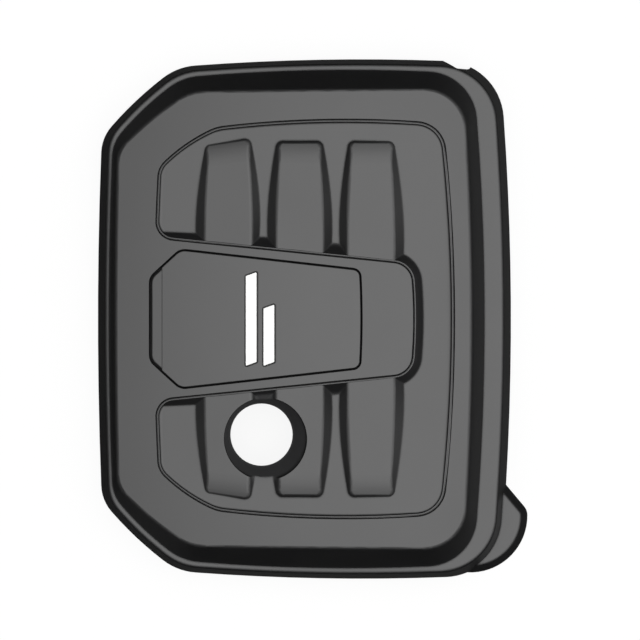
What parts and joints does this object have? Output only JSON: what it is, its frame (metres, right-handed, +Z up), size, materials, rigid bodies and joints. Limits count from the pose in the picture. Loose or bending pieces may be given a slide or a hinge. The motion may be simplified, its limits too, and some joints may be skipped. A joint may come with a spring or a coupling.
{
  "type": "engine cover",
  "caption": "Moulded plastic cover for the top of a vee engine: raised centre with a sunk ribbed field, flush inlay panel, oil-filler opening, and rubber stud sockets beneath.",
  "frame": {"origin": "centre of the overall box, on the plane of the skirt's foot", "axes": "+X from the front edge to the rear edge with the tab, +Y across the banks, +Z up"},
  "size_m": [0.4294, 0.5194, 0.078],
  "materials": {
    "shell_plastic": "PA6 with glass and mineral filler, textured black",
    "inlay_plastic": "PA6 with glass and mineral filler, textured black",
    "badge_white": "white, satin gloss",
    "pad_foam": "open-cell foam, charcoal",
    "washer_steel": "zinc-plated spring steel",
    "socket_rubber": "moulded EPDM"
  },
  "bodies": {
    "root": {"cover_shell": "shell_plastic", "badge_inlay": "inlay_plastic", "badge_bar_long": "badge_white", "badge_bar_short": "badge_white", "acoustic_pad": "pad_foam", "pad_washers": "washer_steel", "inlay_washers": "washer_steel", "grommet_front_left": "socket_rubber", "grommet_front_right": "socket_rubber", "grommet_rear_left": "socket_rubber", "grommet_rear_right": "socket_rubber"}
  },
  "joints": []
}
